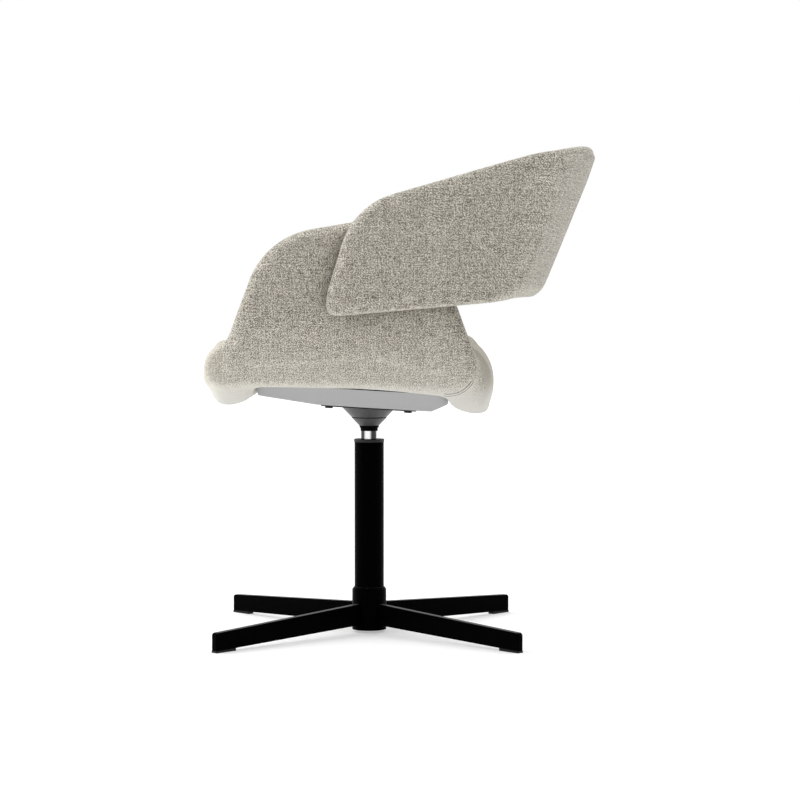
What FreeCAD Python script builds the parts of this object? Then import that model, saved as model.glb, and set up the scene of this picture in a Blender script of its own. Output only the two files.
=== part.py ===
import FreeCAD, Part
import math
import os

V = FreeCAD.Vector

# Swivel armchair for a dining table, in millimetres.
# The floor is z = 0, the swivel axis is z, the sitter faces -y and has +x on the left hand.

# Clearances
fit_gap = 0.05               # round pieces that sit inside each other
soft_gap = 0.3               # foam beside its neighbours
hole_gap = 0.3               # bolts and screws in their holes

# Legs and floor glides
leg_reach = 346.0            # swivel axis to the end of a leg
leg_thickness = 12.0
leg_root_bottom = 13.5       # floor to the underside of a leg at the hub
leg_root_depth = 35.5
leg_tip_depth = 28.8
leg_edge_radius = 1.5
leg_corner_radius = 5.0      # upper corner at the end of a leg
glide_length = 41.0
glide_thickness = 3.2        # at the end of the leg
peg_radius = 3.0
peg_length = 9.0

# Column standing in the hub
column_radius = 25.0
column_wall = 2.5
column_length = 309.2
collar_lip = 0.75            # how far the collar stands out from the tube
collar_height = 5.1
spigot_length = 20.0
bush_length = 55.0
hub_bottom = 4.4
hub_height = 72.3
hub_wall = 4.0
hub_bevel = 4.3
hub_bevel_width = 3.0
ledge_height = 5.6
ledge_width = 3.0
end_plate_thickness = 4.0

# Thrust bearing at the foot of the rod
race_thickness = 4.0
ball_radius = 3.0
ball_circle = 15.0           # radius of the circle of ball centres
ball_count = 8
groove_depth = 1.2
race_margin = 3.0            # race metal beyond the groove
cage_thickness = 1.6
cage_margin = 1.5            # cage metal beyond the balls
buffer_height = 6.0

# Swivel rod
rod_radius = 14.0
rod_wall = 3.0
rod_foot = 12.0              # solid metal above the pin
rod_show = 13.7              # bare rod between collar and seal
rod_taper = 1.0              # radius lost inside the socket
rod_grip = 12.0              # rod inside the flange cone
pin_radius = 5.0
clip_thickness = 1.2
clip_width = 4.0
clip_groove = 1.0
clip_drop = 0.2              # end plate to clip

# Seals and tapered rings under the seat
seal_wall = 0.7
seal_height = 5.5
seal_cap_wall = 2.5
seal_cap_height = 3.5
socket_bottom_radius = 17.0
socket_top_radius = 29.7
socket_height = 14.1
joint_groove = 0.8           # dark line between the two tapered rings
flange_height = 17.4         # at the axis, up to the plate
flange_top_radius = 46.5

# Plate, tray and board, which lean back together
seat_tilt = 3.5              # degrees
plate_size = 160.0
plate_thickness = 3.5
plate_corner = 14.0
bolt_spacing = 132.0
bolt_radius = 4.0
bolt_head_radius = 6.5
bolt_head_height = 3.0
spacer_wall = 2.7
nut_flange_radius = 9.0
nut_flange = 1.5
nut_barrel_wall = 1.2
nut_barrel = 9.0
pan_wall = 2.5
pan_height = 29.0
pan_half_width = 125.0
pan_front = 189.0
pan_rear = 131.0
pan_side_draft = 13.0        # how far a side wall leans in over the tray's height
pan_corner = 24.0
pan_nose_lift = 9.6          # underside at the front end
pan_nose_rake = 6.7          # how far the front end slopes back
pan_nose_length = 97.0       # sloping part of the underside
pan_tail_lift = 13.4
pan_tail_length = 27.0
gasket_height = 6.0
gasket_width = 8.0
gasket_inset = 1.0
panel_thickness = 6.0        # padded panel between tray and board
board_thickness = 12.0
board_margin = 20.0          # board edge inside the wings
board_front = 222.0
board_rear = 160.0
board_corner = 30.0

# Seat cushion, heights above the tray's underside
seat_front = 277.0
seat_bow = 17.0              # how far the front edge falls back at the wings
seat_rear = 210.0
seat_rear_bow = 8.0
seat_crown = 125.0
crown_place = 40.0           # crown in front of the axis
crown_fall = 5.0             # top is lower beside the wings
seat_front_top = 106.0
seat_rear_top = 120.0
seat_front_roll = 44.0
seat_rear_roll = 74.0
seat_lip = 28.0              # seam under the front roll
rear_lip = 13.0              # seam under the rear roll
lip_radius = 22.0
lip_step = 5.5               # cushion edge in front of the board
rear_lip_radius = 14.0
crown_radius = 2400.0
shape_margin = 17.0          # beyond the board, where bow and fall are stated
roll_depth = 25.0            # front roll of the underside panel
rear_roll_depth = 24.5
front_roll_length = 38.0
rear_roll_length = 31.0
front_roll_radius = 20.0
rear_roll_radius = 12.0
panel_lip_radius = 5.5       # where a roll turns up to the tray
panel_inset = 14.0           # underside panel inside the seat's front edge
rear_panel_inset = 7.0
seat_stations = [-1.2, -0.6, 0.0, 0.6, 1.2]                   # cushion outlines, as shares of the span
panel_stations = [-1.0, -0.82, -0.45, 0.0, 0.45, 0.82, 1.0]   # panel outlines, as shares of its half width

# Side wings
arm_thickness = 36.0
arm_core_thickness = 10.0
arm_rim = 13.0               # rounding of the wing's edges
arm_roll_height = 84.0
arm_roll_radius = 30.0
arm_foot_lift = 29.0         # lower front corner
arm_foot_length = 62.0       # front edge to where the underside rises
arm_front_lift = 38.0        # underside behind the foot
arm_foot_radius = 60.0
arm_mid_lift = 34.0          # underside beside the column
arm_rear_lift = 15.0         # lower rear corner
arm_rear = 200.0
arm_notch_y = 223.0
arm_notch_z = 116.0
arm_notch_radius = 14.0
arm_shoulder_y = 162.0
arm_shoulder_z = 278.0
arm_shoulder_radius = 130.0
arm_top_y = 88.0
arm_top_z = 320.0
arm_top_radius = 40.0
arm_corner_radius = 30.0     # lower front corner
arm_rear_radius = 47.0       # lower rear corner
arm_bottom_radius = 500.0    # shallow hollow of the underside
core_margin = 16.0           # foam beyond the edge of a core

# Wrap-round back
band_thickness = 34.0        # beside the wings
back_thickness = 46.0        # behind the sitter
back_core_thickness = 10.0
band_rim = 14.5              # rounding of the inner edge
band_outer_rim = 9.0         # rounding of the outer edge
band_half_width = 305.0      # outer face at band_level
band_level = 304.0
side_lean = 6.84             # degrees, wings and sides of the back
back_reach = 312.0           # outer face at back_level
back_level = 245.0
back_lean = 22.05            # degrees
band_corner = 97.0           # plan radius at the lower edge
band_corner_growth = 0.2     # added per millimetre of height
band_turn = 68.0             # degrees turned by the corner
band_front_foot_y = 68.0
band_front_foot_z = 149.0
band_foot_radius = 17.0
band_front_y = 64.0
band_front_z = 186.0
band_front_radius = 90.0
band_shoulder_y = 21.0
band_shoulder_z = 326.0
band_shoulder_radius = 118.0
band_bottom_rise = 5.1       # degrees
band_top_rise = 16.0         # degrees
band_bolt_places = [(-5.0, 215.0), (70.0, 225.0)]
band_bolt_head_radius = 8.0
band_bolt_head_height = 3.0

# Angles between board and wings
bracket_thickness = 3.0
bracket_front = 70.0
bracket_length = 150.0
bracket_reach = 85.0         # foot of the angle, in from the arm core
screw_edge = 22.0            # board edge to the screws of the foot
bracket_height = 60.0
wall_screw_height = 36.0     # board to the screws of the upright
bracket_pitch = 100.0        # distance between two screws
screw_radius = 2.0
screw_head_radius = 4.5
screw_head_height = 2.0
screw_length = 9.0

# Heights up the column
end_plate_bottom = hub_bottom + ledge_height
tube_bottom = end_plate_bottom + end_plate_thickness
column_top = tube_bottom + column_length
groove_radius = ball_radius + fit_gap
ball_height = tube_bottom + race_thickness + groove_radius - groove_depth
upper_race_bottom = ball_height + groove_radius - groove_depth
buffer_bottom = upper_race_bottom + race_thickness
rod_bottom = buffer_bottom + buffer_height
collar_top = column_top + collar_height
seal_bottom = collar_top + rod_show
seal_cap_bottom = seal_bottom + seal_height
socket_bottom = seal_cap_bottom + seal_cap_height
flange_bottom = socket_bottom + socket_height
mount_height = flange_bottom + flange_height + plate_thickness

# Levels above the tray's underside, square to the leaning plate
board_bottom = pan_height + gasket_height + panel_thickness
board_top = board_bottom + board_thickness
panel_bottom = pan_height + gasket_height

# Depths in from the outer face of the back, measured along x
arm_outer = band_thickness + soft_gap
arm_inner = arm_outer + arm_thickness
arm_core_outer = arm_outer + (arm_thickness - arm_core_thickness) / 2
arm_core_inner = arm_core_outer + arm_core_thickness
back_core_side = (band_thickness - back_core_thickness) / 2
back_core_rear = (back_thickness - back_core_thickness) / 2

lean_slope = math.tan(math.radians(side_lean))
lean_cosine = math.cos(math.radians(side_lean))
outward = V(lean_cosine, 0, -math.sin(math.radians(side_lean)))  # square to a wing
# Axis to the inner face of a wing, at the board
wing_gap = band_half_width - (band_level - board_bottom) * lean_slope - arm_inner
board_half_width = wing_gap - board_margin
shape_span = board_half_width + shape_margin
far = 600.0                  # reach of cutting shapes, beyond the chair's own size
below = -far / 4             # lower end of shapes that lean with the wings
parts = {}


def polygon(points):
    """Closed wire of straight edges."""
    return Part.makePolygon(points + [points[0]])


def rounded_wire(corners, place):
    """Closed wire through corners (a, b, radius), each turned by a tangent arc."""
    edges = []
    last = None
    first = None
    count = len(corners)
    for index, (a, b, radius) in enumerate(corners):
        here = V(a, b, 0)
        before = V(*corners[index - 1][:2], 0) - here
        after = V(*corners[(index + 1) % count][:2], 0) - here
        before.normalize()
        after.normalize()
        half = before.getAngle(after) / 2
        start = here
        end = here
        middle = here
        if radius:
            middle_way = before + after
            middle_way.normalize()
            start = here + before * (radius / math.tan(half))
            end = here + after * (radius / math.tan(half))
            middle = here + middle_way * (radius / math.sin(half) - radius)
        if last is not None:
            edges.append(Part.LineSegment(place(last.x, last.y), place(start.x, start.y)).toShape())
        else:
            first = start
        if radius:
            arc = Part.Arc(place(start.x, start.y), place(middle.x, middle.y), place(end.x, end.y))
            edges.append(arc.toShape())
        last = end
    edges.append(Part.LineSegment(place(last.x, last.y), place(first.x, first.y)).toShape())
    return Part.Wire(edges)


def side_view(x):
    """Place for outlines drawn in the y-z plane at x."""
    return lambda y, z: V(x, y, z)


def plan_view(z):
    """Place for outlines drawn in the x-y plane at z."""
    return lambda x, y: V(x, y, z)


def turned(profile):
    """Solid of revolution about the swivel axis from (radius, height) points."""
    face = Part.Face(polygon([V(radius, 0, height) for radius, height in profile]))
    return face.revolve(V(0, 0, 0), V(0, 0, 1), 360)


def ring(inner, outer, bottom, top):
    """Plain ring about the swivel axis."""
    return turned([(inner, bottom), (outer, bottom), (outer, top), (inner, top)])


def rod_between(start, direction, length, radius):
    """Round bar from a point along a direction."""
    return Part.makeCylinder(radius, length, start, direction)


def tilted(shape):
    """Shape drawn level, leaned back with the plate about the point where the axis meets it."""
    leaned = shape.copy()
    leaned.rotate(V(0, 0, 0), V(1, 0, 0), -seat_tilt)
    return leaned


def tilted_height(y, level):
    """Height, at y, of a plane that lies level above the leaning plate."""
    angle = math.radians(seat_tilt)
    return level / math.cos(angle) - y * math.tan(angle)


def tilted_reach(y, level):
    """Place along y of a point that lies at a level of the leaning plate."""
    angle = math.radians(seat_tilt)
    return y * math.cos(angle) + level * math.sin(angle)


def raised(shape):
    """Seat piece moved from the tray's underside to its height above the floor."""
    lifted = shape.copy()
    lifted.translate(V(0, 0, mount_height))
    return lifted


def mirrored(shape):
    """The other hand of a piece on the +x side."""
    return shape.mirror(V(0, 0, 0), V(1, 0, 0))


def both_sides(shape):
    """A piece and its mirror image as separate solids."""
    return Part.makeCompound([shape, mirrored(shape)])


def rounded_box(half_x, y0, y1, z0, z1, corner):
    """Upright block with rounded corners in plan."""
    corners = [(half_x, y0, corner), (half_x, y1, corner), (-half_x, y1, corner), (-half_x, y0, corner)]
    return Part.Face(rounded_wire(corners, plan_view(z0))).extrude(V(0, 0, z1 - z0))


def bolt_places():
    """The four bolts of the mounting plate."""
    reach = bolt_spacing / 2
    return [(x, y) for x in (-reach, reach) for y in (-reach, reach)]


def at_bolts(radius, bottom, top):
    """Four round bars at the plate's bolts, between two levels of the leaning frame."""
    bars = [rod_between(V(x, y, bottom), V(0, 0, 1), top - bottom, radius) for x, y in bolt_places()]
    return tilted(Part.makeCompound(bars))


def half_width(z):
    """Outer face of the back's straight sides at height z."""
    return band_half_width + (z - band_level) * lean_slope


def across(y, z, inner, outer, radius):
    """Round bar square to a wing, between two depths from the back's outer face."""
    meeting = V(half_width(z) - arm_outer, y, z)
    start = meeting + outward * ((arm_outer - inner) * lean_cosine)
    return rod_between(start, outward, (inner - outer) * lean_cosine, radius)


def make_base():
    """Hub, legs and glides."""
    bore = column_radius + fit_gap
    hub_radius = bore + hub_wall
    top = hub_bottom + hub_height
    parts["base_hub"] = turned([
        (bore - ledge_width, hub_bottom),
        (hub_radius, hub_bottom),
        (hub_radius, top - hub_bevel),
        (hub_radius - hub_bevel_width, top),
        (bore, top),
        (bore, end_plate_bottom),
        (bore - ledge_width, end_plate_bottom),
    ])
    fall = (leg_root_bottom - glide_thickness) / (leg_reach - hub_radius)
    glide_start = leg_reach - glide_length
    glide_start_height = glide_thickness + fall * glide_length
    root_top = leg_root_bottom + leg_root_depth
    tip_top = glide_thickness + leg_tip_depth
    sink = hub_radius / 2
    rise = (root_top - tip_top) / (leg_reach - hub_radius) * sink
    corners = [
        (hub_radius - sink, leg_root_bottom + fall * sink, 0),
        (leg_reach, glide_thickness, 0),
        (leg_reach, tip_top, leg_corner_radius),
        (hub_radius - sink, root_top + rise, 0),
    ]
    outline = rounded_wire(corners, lambda r, z: V(r, -leg_thickness / 2, z))
    bar = Part.Face(outline).extrude(V(0, leg_thickness, 0))
    lowest = leg_root_bottom + fall * sink
    long_edges = [e for e in bar.Edges if e.BoundBox.YLength < leg_thickness / 2 and e.BoundBox.ZMax > lowest]
    bar = bar.makeFillet(leg_edge_radius, long_edges)
    bar = bar.cut(Part.makeCylinder(hub_radius, root_top * 2))
    peg_place = V(leg_reach - glide_length / 2, 0, glide_thickness / 2)
    peg = rod_between(peg_place, V(0, 0, 1), peg_length + glide_thickness / 2, peg_radius)
    bar = bar.cut(rod_between(peg_place, V(0, 0, 1), peg_length + glide_thickness, peg_radius + fit_gap))
    pad = Part.Face(polygon([
        V(glide_start, -leg_thickness / 2, 0),
        V(leg_reach, -leg_thickness / 2, 0),
        V(leg_reach, -leg_thickness / 2, glide_thickness),
        V(glide_start, -leg_thickness / 2, glide_start_height),
    ])).extrude(V(0, leg_thickness, 0))
    glide = pad.fuse(peg).removeSplitter()
    for name, angle in (("front_left", -45), ("rear_left", 45), ("rear_right", 135), ("front_right", 225)):
        leg = bar.copy()
        leg.rotate(V(0, 0, 0), V(0, 0, 1), angle)
        parts["leg_" + name] = leg
        foot = glide.copy()
        foot.rotate(V(0, 0, 0), V(0, 0, 1), angle)
        parts["glide_" + name] = foot


def make_column():
    """Tube, collar, bush and end plate."""
    inner = column_radius - column_wall
    sliding = rod_radius + fit_gap
    parts["column_tube"] = ring(inner, column_radius, tube_bottom, column_top)
    spigot = inner - fit_gap
    parts["column_collar"] = turned([
        (sliding, column_top - spigot_length),
        (spigot, column_top - spigot_length),
        (spigot, column_top),
        (column_radius + collar_lip, column_top),
        (column_radius + collar_lip, collar_top - collar_lip),
        (column_radius, collar_top),
        (sliding, collar_top),
    ])
    bush_top = column_top - spigot_length
    parts["guide_bush"] = ring(sliding, spigot, bush_top - bush_length, bush_top)
    parts["end_plate"] = ring(pin_radius + fit_gap, column_radius, end_plate_bottom, tube_bottom)


def make_bearing():
    """Ball thrust bearing between end plate and rod."""
    bore = pin_radius + fit_gap
    race_radius = ball_circle + ball_radius + race_margin
    groove = Part.makeTorus(ball_circle, groove_radius, V(0, 0, ball_height), V(0, 0, 1))
    lower = ring(bore, race_radius, tube_bottom, tube_bottom + race_thickness)
    upper = ring(bore, race_radius, upper_race_bottom, buffer_bottom)
    parts["lower_race"] = lower.cut(groove)
    parts["upper_race"] = upper.cut(groove)
    reach = ball_radius + cage_margin
    cage = ring(ball_circle - reach, ball_circle + reach, ball_height - cage_thickness / 2,
                ball_height + cage_thickness / 2)
    balls = []
    for index in range(ball_count):
        angle = 2 * math.pi * index / ball_count
        centre = V(ball_circle * math.cos(angle), ball_circle * math.sin(angle), ball_height)
        balls.append(Part.makeSphere(ball_radius, centre))
        hole_start = centre - V(0, 0, ball_radius)
        cage = cage.cut(rod_between(hole_start, V(0, 0, 1), 2 * ball_radius, groove_radius))
    parts["ball_cage"] = cage
    parts["bearing_balls"] = Part.makeCompound(balls)
    parts["buffer_ring"] = ring(bore, rod_radius, buffer_bottom, rod_bottom)


def make_rod():
    """Rod with its pin, clip, seals and the tapered rings above them."""
    clip_top = end_plate_bottom - clip_drop
    clip_bottom = clip_top - clip_thickness
    pin_bottom = clip_bottom - clip_thickness
    neck = pin_radius - clip_groove
    rod_top = flange_bottom + rod_grip
    bore = rod_radius - rod_wall
    parts["swivel_rod"] = turned([
        (0, pin_bottom),
        (pin_radius, pin_bottom),
        (pin_radius, clip_bottom - fit_gap),
        (neck, clip_bottom - fit_gap),
        (neck, clip_top + fit_gap),
        (pin_radius, clip_top + fit_gap),
        (pin_radius, rod_bottom),
        (rod_radius, rod_bottom),
        (rod_radius, socket_bottom),
        (rod_radius - rod_taper, rod_top),
        (bore - rod_taper, rod_top),
        (bore, socket_bottom),
        (bore, rod_bottom + rod_foot),
        (0, rod_bottom + rod_foot),
    ])
    clip = ring(neck + fit_gap, pin_radius + clip_width, clip_bottom, clip_top)
    mouth = Part.makeBox(2 * neck, pin_radius + clip_width, clip_thickness, V(-neck, 0, clip_bottom))
    parts["retaining_clip"] = clip.cut(mouth)
    sleeve = rod_radius + fit_gap
    parts["dust_seal"] = ring(sleeve, sleeve + seal_wall, seal_bottom, seal_cap_bottom)
    parts["seal_cap"] = ring(sleeve, sleeve + seal_cap_wall, seal_cap_bottom, socket_bottom)
    slope = rod_taper / (rod_top - socket_bottom)
    bore_at_joint = sleeve - slope * socket_height
    parts["socket_cone"] = turned([
        (sleeve, socket_bottom),
        (socket_bottom_radius, socket_bottom),
        (socket_top_radius, flange_bottom - joint_groove),
        (socket_top_radius - joint_groove, flange_bottom - joint_groove),
        (socket_top_radius - joint_groove, flange_bottom),
        (bore_at_joint, flange_bottom),
    ])
    lean = math.tan(math.radians(seat_tilt)) * flange_top_radius * 2
    spread = (flange_top_radius - socket_top_radius) / flange_height
    high = flange_bottom + flange_height + lean
    flange = turned([
        (bore_at_joint, flange_bottom),
        (socket_top_radius, flange_bottom),
        (socket_top_radius + spread * (flange_height + lean), high),
        (sleeve - slope * (high - socket_bottom), high),
    ])
    above = Part.makeBox(far, far, far, V(-far / 2, -far / 2, -plate_thickness))
    parts["flange_cone"] = flange.cut(raised(tilted(above)))


def pan_block(inset):
    """Outer form of the tray, drawn level, moved in by inset on every wall but the rim."""
    corners = [
        (-pan_front, pan_height, 0),
        (-pan_front + pan_nose_rake, pan_nose_lift, 0),
        (-pan_front + pan_nose_length + pan_nose_rake, 0, 0),
        (pan_rear - pan_tail_length, 0, 0),
        (pan_rear, pan_tail_lift, 0),
        (pan_rear, pan_height, 0),
    ]
    outline = rounded_wire(corners, side_view(-far / 2))
    if inset:
        outline = outline.makeOffset2D(-inset)
    block = Part.Face(outline).extrude(V(far, 0, 0))
    levels = []
    for level, lean in ((0.0, pan_side_draft), (pan_height, 0.0)):
        half = pan_half_width - lean - inset
        plan = [
            (half, -pan_front + inset, pan_corner),
            (half, pan_rear - inset, pan_corner),
            (-half, pan_rear - inset, pan_corner),
            (-half, -pan_front + inset, pan_corner),
        ]
        levels.append(rounded_wire(plan, plan_view(level)))
    return block.common(Part.makeLoft(levels, True, True))


def make_pan():
    """Plate, tray, gasket, board and what bolts them together."""
    shank = bolt_radius + hole_gap
    corner = plate_size / 2
    plate = rounded_box(corner, -corner, corner, -plate_thickness, 0, plate_corner)
    holes = at_bolts(shank, -far, far)
    parts["mounting_plate"] = raised(tilted(plate).cut(holes))
    hollow = pan_block(pan_wall)
    lift = pan_block(pan_wall)
    lift.translate(V(0, 0, pan_wall))
    tray = pan_block(0).cut(hollow).cut(lift)
    parts["seat_pan"] = raised(tilted(tray).cut(holes))
    outer = rounded_box(pan_half_width - gasket_inset, -pan_front + gasket_inset, pan_rear - gasket_inset,
                        pan_height, panel_bottom, pan_corner)
    inset = gasket_inset + gasket_width
    inner = rounded_box(pan_half_width - inset, -pan_front + inset, pan_rear - inset,
                        pan_height, panel_bottom, pan_corner - gasket_width)
    parts["pan_gasket"] = raised(tilted(outer.cut(inner)))
    barrel = shank + nut_barrel_wall
    board = rounded_box(board_half_width, -board_front, board_rear, board_bottom, board_top, board_corner)
    board = tilted(board).cut(at_bolts(shank, 0, board_top))
    board = board.cut(at_bolts(barrel + fit_gap, board_top - nut_barrel, board_top))
    screws = bracket_floor_screws(screw_radius + fit_gap, board_top - screw_length, board_top)
    parts["seat_board"] = raised(board.cut(screws))
    head = -plate_thickness - bolt_head_height
    bolts = []
    sleeves = []
    nuts = []
    for x, y in bolt_places():
        up = V(0, 0, 1)
        bolt = rod_between(V(x, y, head), up, board_top - head, bolt_radius)
        bolt = bolt.fuse(rod_between(V(x, y, head), up, bolt_head_height, bolt_head_radius))
        bolts.append(bolt.removeSplitter())
        sleeve = rod_between(V(x, y, pan_wall), up, board_bottom - pan_wall, shank + spacer_wall)
        sleeves.append(sleeve.cut(rod_between(V(x, y, 0), up, board_top, shank)))
        nut = rod_between(V(x, y, board_top - nut_barrel), up, nut_barrel, barrel)
        nut = nut.fuse(rod_between(V(x, y, board_top), up, nut_flange, nut_flange_radius))
        thread = rod_between(V(x, y, 0), up, 2 * board_top, bolt_radius + fit_gap)
        nuts.append(nut.cut(thread).removeSplitter())
    parts["plate_bolts"] = raised(tilted(Part.makeCompound(bolts)))
    parts["spacer_tubes"] = raised(tilted(Part.makeCompound(sleeves)))
    parts["t_nuts"] = raised(tilted(Part.makeCompound(nuts)))


def seat_profile(x):
    """Side outline of the cushion at x: bowed at the front, crowned on top, drawn in at the seams."""
    share = (x / shape_span) ** 2
    front = seat_bow * share - seat_front
    rear = seat_rear - seat_rear_bow * share
    fall = crown_fall * share
    step = board_front + lip_step
    corners = [
        (front, seat_lip, lip_radius),
        (front, seat_front_top - fall, seat_front_roll),
        (-crown_place, seat_crown - fall, crown_radius),
        (rear, seat_rear_top - fall, seat_rear_roll),
        (rear, rear_lip, rear_lip_radius),
        (0, arm_mid_lift + soft_gap, 0),
        (-board_front, arm_front_lift + soft_gap, 0),
        (-step, seat_lip, 0),
    ]
    return rounded_wire(corners, side_view(x))


def underside_profile(x):
    """Side outline of the padded panel at x: a roll at each end that fades towards the wings."""
    share = (x / shape_span) ** 2
    full = math.sqrt(1 - (x / shape_span) ** 4)
    front = seat_bow * share - seat_front + panel_inset
    rear = seat_rear - seat_rear_bow * share - rear_panel_inset
    board_front_in = -board_front + soft_gap
    board_rear_in = board_rear - soft_gap
    front_seam = seat_lip - soft_gap
    rear_seam = rear_lip - soft_gap
    front_low = front_seam - roll_depth * full
    rear_low = rear_seam - rear_roll_depth * full
    pan_front_in = -pan_front - 2 * soft_gap
    pan_rear_in = tilted_reach(pan_rear, panel_bottom) + 2 * soft_gap
    pan_fall = (front_seam - front_low) / 2
    corners = [
        (front, front_seam, 0),
        (board_front_in, front_seam, 0),
        (board_front_in, tilted_height(board_front_in, board_bottom), 0),
        (board_rear_in, tilted_height(board_rear_in, board_bottom), 0),
        (board_rear_in, rear_seam, 0),
        (rear, rear_seam, 0),
        (rear, rear_low, rear_roll_radius * full),
        (rear - rear_roll_length, rear_low, rear_roll_length),
        (pan_rear_in, rear_low + pan_fall, panel_lip_radius),
        (pan_rear_in, tilted_height(pan_rear_in, panel_bottom), 0),
        (pan_front_in, tilted_height(pan_front_in, panel_bottom), 0),
        (pan_front_in, front_low + pan_fall, panel_lip_radius),
        (front + front_roll_length, front_low, front_roll_length),
        (front, front_low, front_roll_radius * full),
    ]
    return rounded_wire(corners, side_view(x))


def between_wings():
    """Space between the inner faces of the two wings, less the foam gap."""
    inner = arm_inner + soft_gap
    points = [
        V(half_width(below) - inner, -far, below),
        V(half_width(far) - inner, -far, far),
        V(inner - half_width(far), -far, far),
        V(inner - half_width(below), -far, below),
    ]
    return Part.Face(polygon(points)).extrude(V(0, 2 * far, 0))


def make_seat():
    """Seat cushion and the padded panel under it."""
    cushion = Part.makeLoft([seat_profile(share * shape_span) for share in seat_stations], True, False)
    cushion = cushion.common(between_wings())
    recess = rounded_box(board_half_width + soft_gap, -board_front - soft_gap, board_rear + soft_gap,
                         -far, board_top, board_corner)
    cushion = cushion.cut(tilted(recess))
    nut_room = at_bolts(nut_flange_radius + soft_gap, board_top - soft_gap, board_top + 2 * nut_flange)
    cushion = cushion.cut(nut_room)
    cushion = cushion.cut(both_sides(bracket_floor(soft_gap)))
    cushion = cushion.cut(bracket_floor_screws(screw_head_radius + soft_gap, board_top,
                                               board_top + bracket_thickness + screw_head_height + soft_gap))
    parts["seat_pad"] = raised(cushion)
    lowest = rear_lip - rear_roll_depth - soft_gap
    roll_edge = half_width(lowest) - arm_inner - soft_gap
    panel = Part.makeLoft([underside_profile(share * roll_edge) for share in panel_stations], True, False)
    edge = board_half_width - soft_gap
    flat = rounded_box(edge, -far, far, -far, far, board_corner)
    front_room = Part.makeBox(2 * roll_edge, far, far + seat_lip, V(-roll_edge, -far - pan_front, -far))
    rear_room = Part.makeBox(2 * roll_edge, far, far + rear_lip, V(-roll_edge, pan_rear, -far))
    panel = panel.common(tilted(flat).fuse(front_room).fuse(rear_room))
    panel = panel.cut(at_bolts(bolt_radius + hole_gap + spacer_wall + soft_gap, 0, board_top)).cut(cushion)
    parts["underside_pad"] = raised(panel)


def arm_wire(inset):
    """Outline of a wing seen from the side, moved in by inset."""
    front = seat_bow - seat_front
    corners = [
        (front + arm_foot_length, arm_front_lift, arm_foot_radius),
        (front, arm_foot_lift, arm_corner_radius),
        (front, arm_roll_height, arm_roll_radius),
        (-arm_notch_y, arm_notch_z, arm_notch_radius),
        (-arm_shoulder_y, arm_shoulder_z, arm_shoulder_radius),
        (arm_top_y, arm_top_z, arm_top_radius),
        (arm_rear, arm_rear_lift, arm_rear_radius),
        (0, arm_mid_lift, arm_bottom_radius),
    ]
    wire = rounded_wire(corners, side_view(0))
    if inset:
        wire = wire.makeOffset2D(-inset)
    return wire


def arm_panel(wire, outer, inner):
    """Leaning panel with a side outline, between two depths from the back's outer face."""
    slab = Part.Face(polygon([
        V(half_width(below) - outer, -far, below),
        V(half_width(far) - outer, -far, far),
        V(half_width(far) - inner, -far, far),
        V(half_width(below) - inner, -far, below),
    ])).extrude(V(0, 2 * far, 0))
    return Part.Face(wire).extrude(V(far, 0, 0)).common(slab)


def bracket_floor(gap):
    """Foot of the angle on the board, on the +x side."""
    reach = half_width(tilted_height(0, board_top)) - arm_core_inner
    foot = Part.makeBox(2 * bracket_reach, bracket_length + 2 * gap, bracket_thickness + gap,
                        V(reach - bracket_reach - gap, -bracket_front - gap, board_top))
    beyond = arm_panel(polygon([
        V(0, -far, below), V(0, far, below), V(0, far, far), V(0, -far, far),
    ]), -far, arm_core_inner + gap)
    return tilted(foot).cut(beyond)


def bracket_wall(gap):
    """Upright of the angle against the arm core, on the +x side."""
    back = bracket_length - bracket_front
    top = tilted_height(0, board_top) + bracket_height + gap
    wire = polygon([
        V(0, -bracket_front - gap, tilted_height(-bracket_front, board_top)),
        V(0, back + gap, tilted_height(back, board_top)),
        V(0, back + gap, top),
        V(0, -bracket_front - gap, top),
    ])
    return arm_panel(wire, arm_core_inner, arm_core_inner + bracket_thickness + gap)


def bracket_screw_rows():
    """Places along y of the two screws in each flange."""
    middle = bracket_length / 2 - bracket_front
    return [middle - bracket_pitch / 2, middle + bracket_pitch / 2]


def bracket_floor_screws(radius, bottom, top):
    """Round bars through the feet of both angles, between two levels of the leaning frame."""
    x = board_half_width - screw_edge
    bars = []
    for y in bracket_screw_rows():
        for side in (-x, x):
            bars.append(rod_between(V(side, y, bottom), V(0, 0, 1), top - bottom, radius))
    return tilted(Part.makeCompound(bars))


def bracket_wall_screws(radius, inner, outer):
    """Round bars through the upright of the +x angle, between two depths."""
    height = tilted_height(0, board_top) + wall_screw_height
    return [across(y, height, inner, outer, radius) for y in bracket_screw_rows()]


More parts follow.
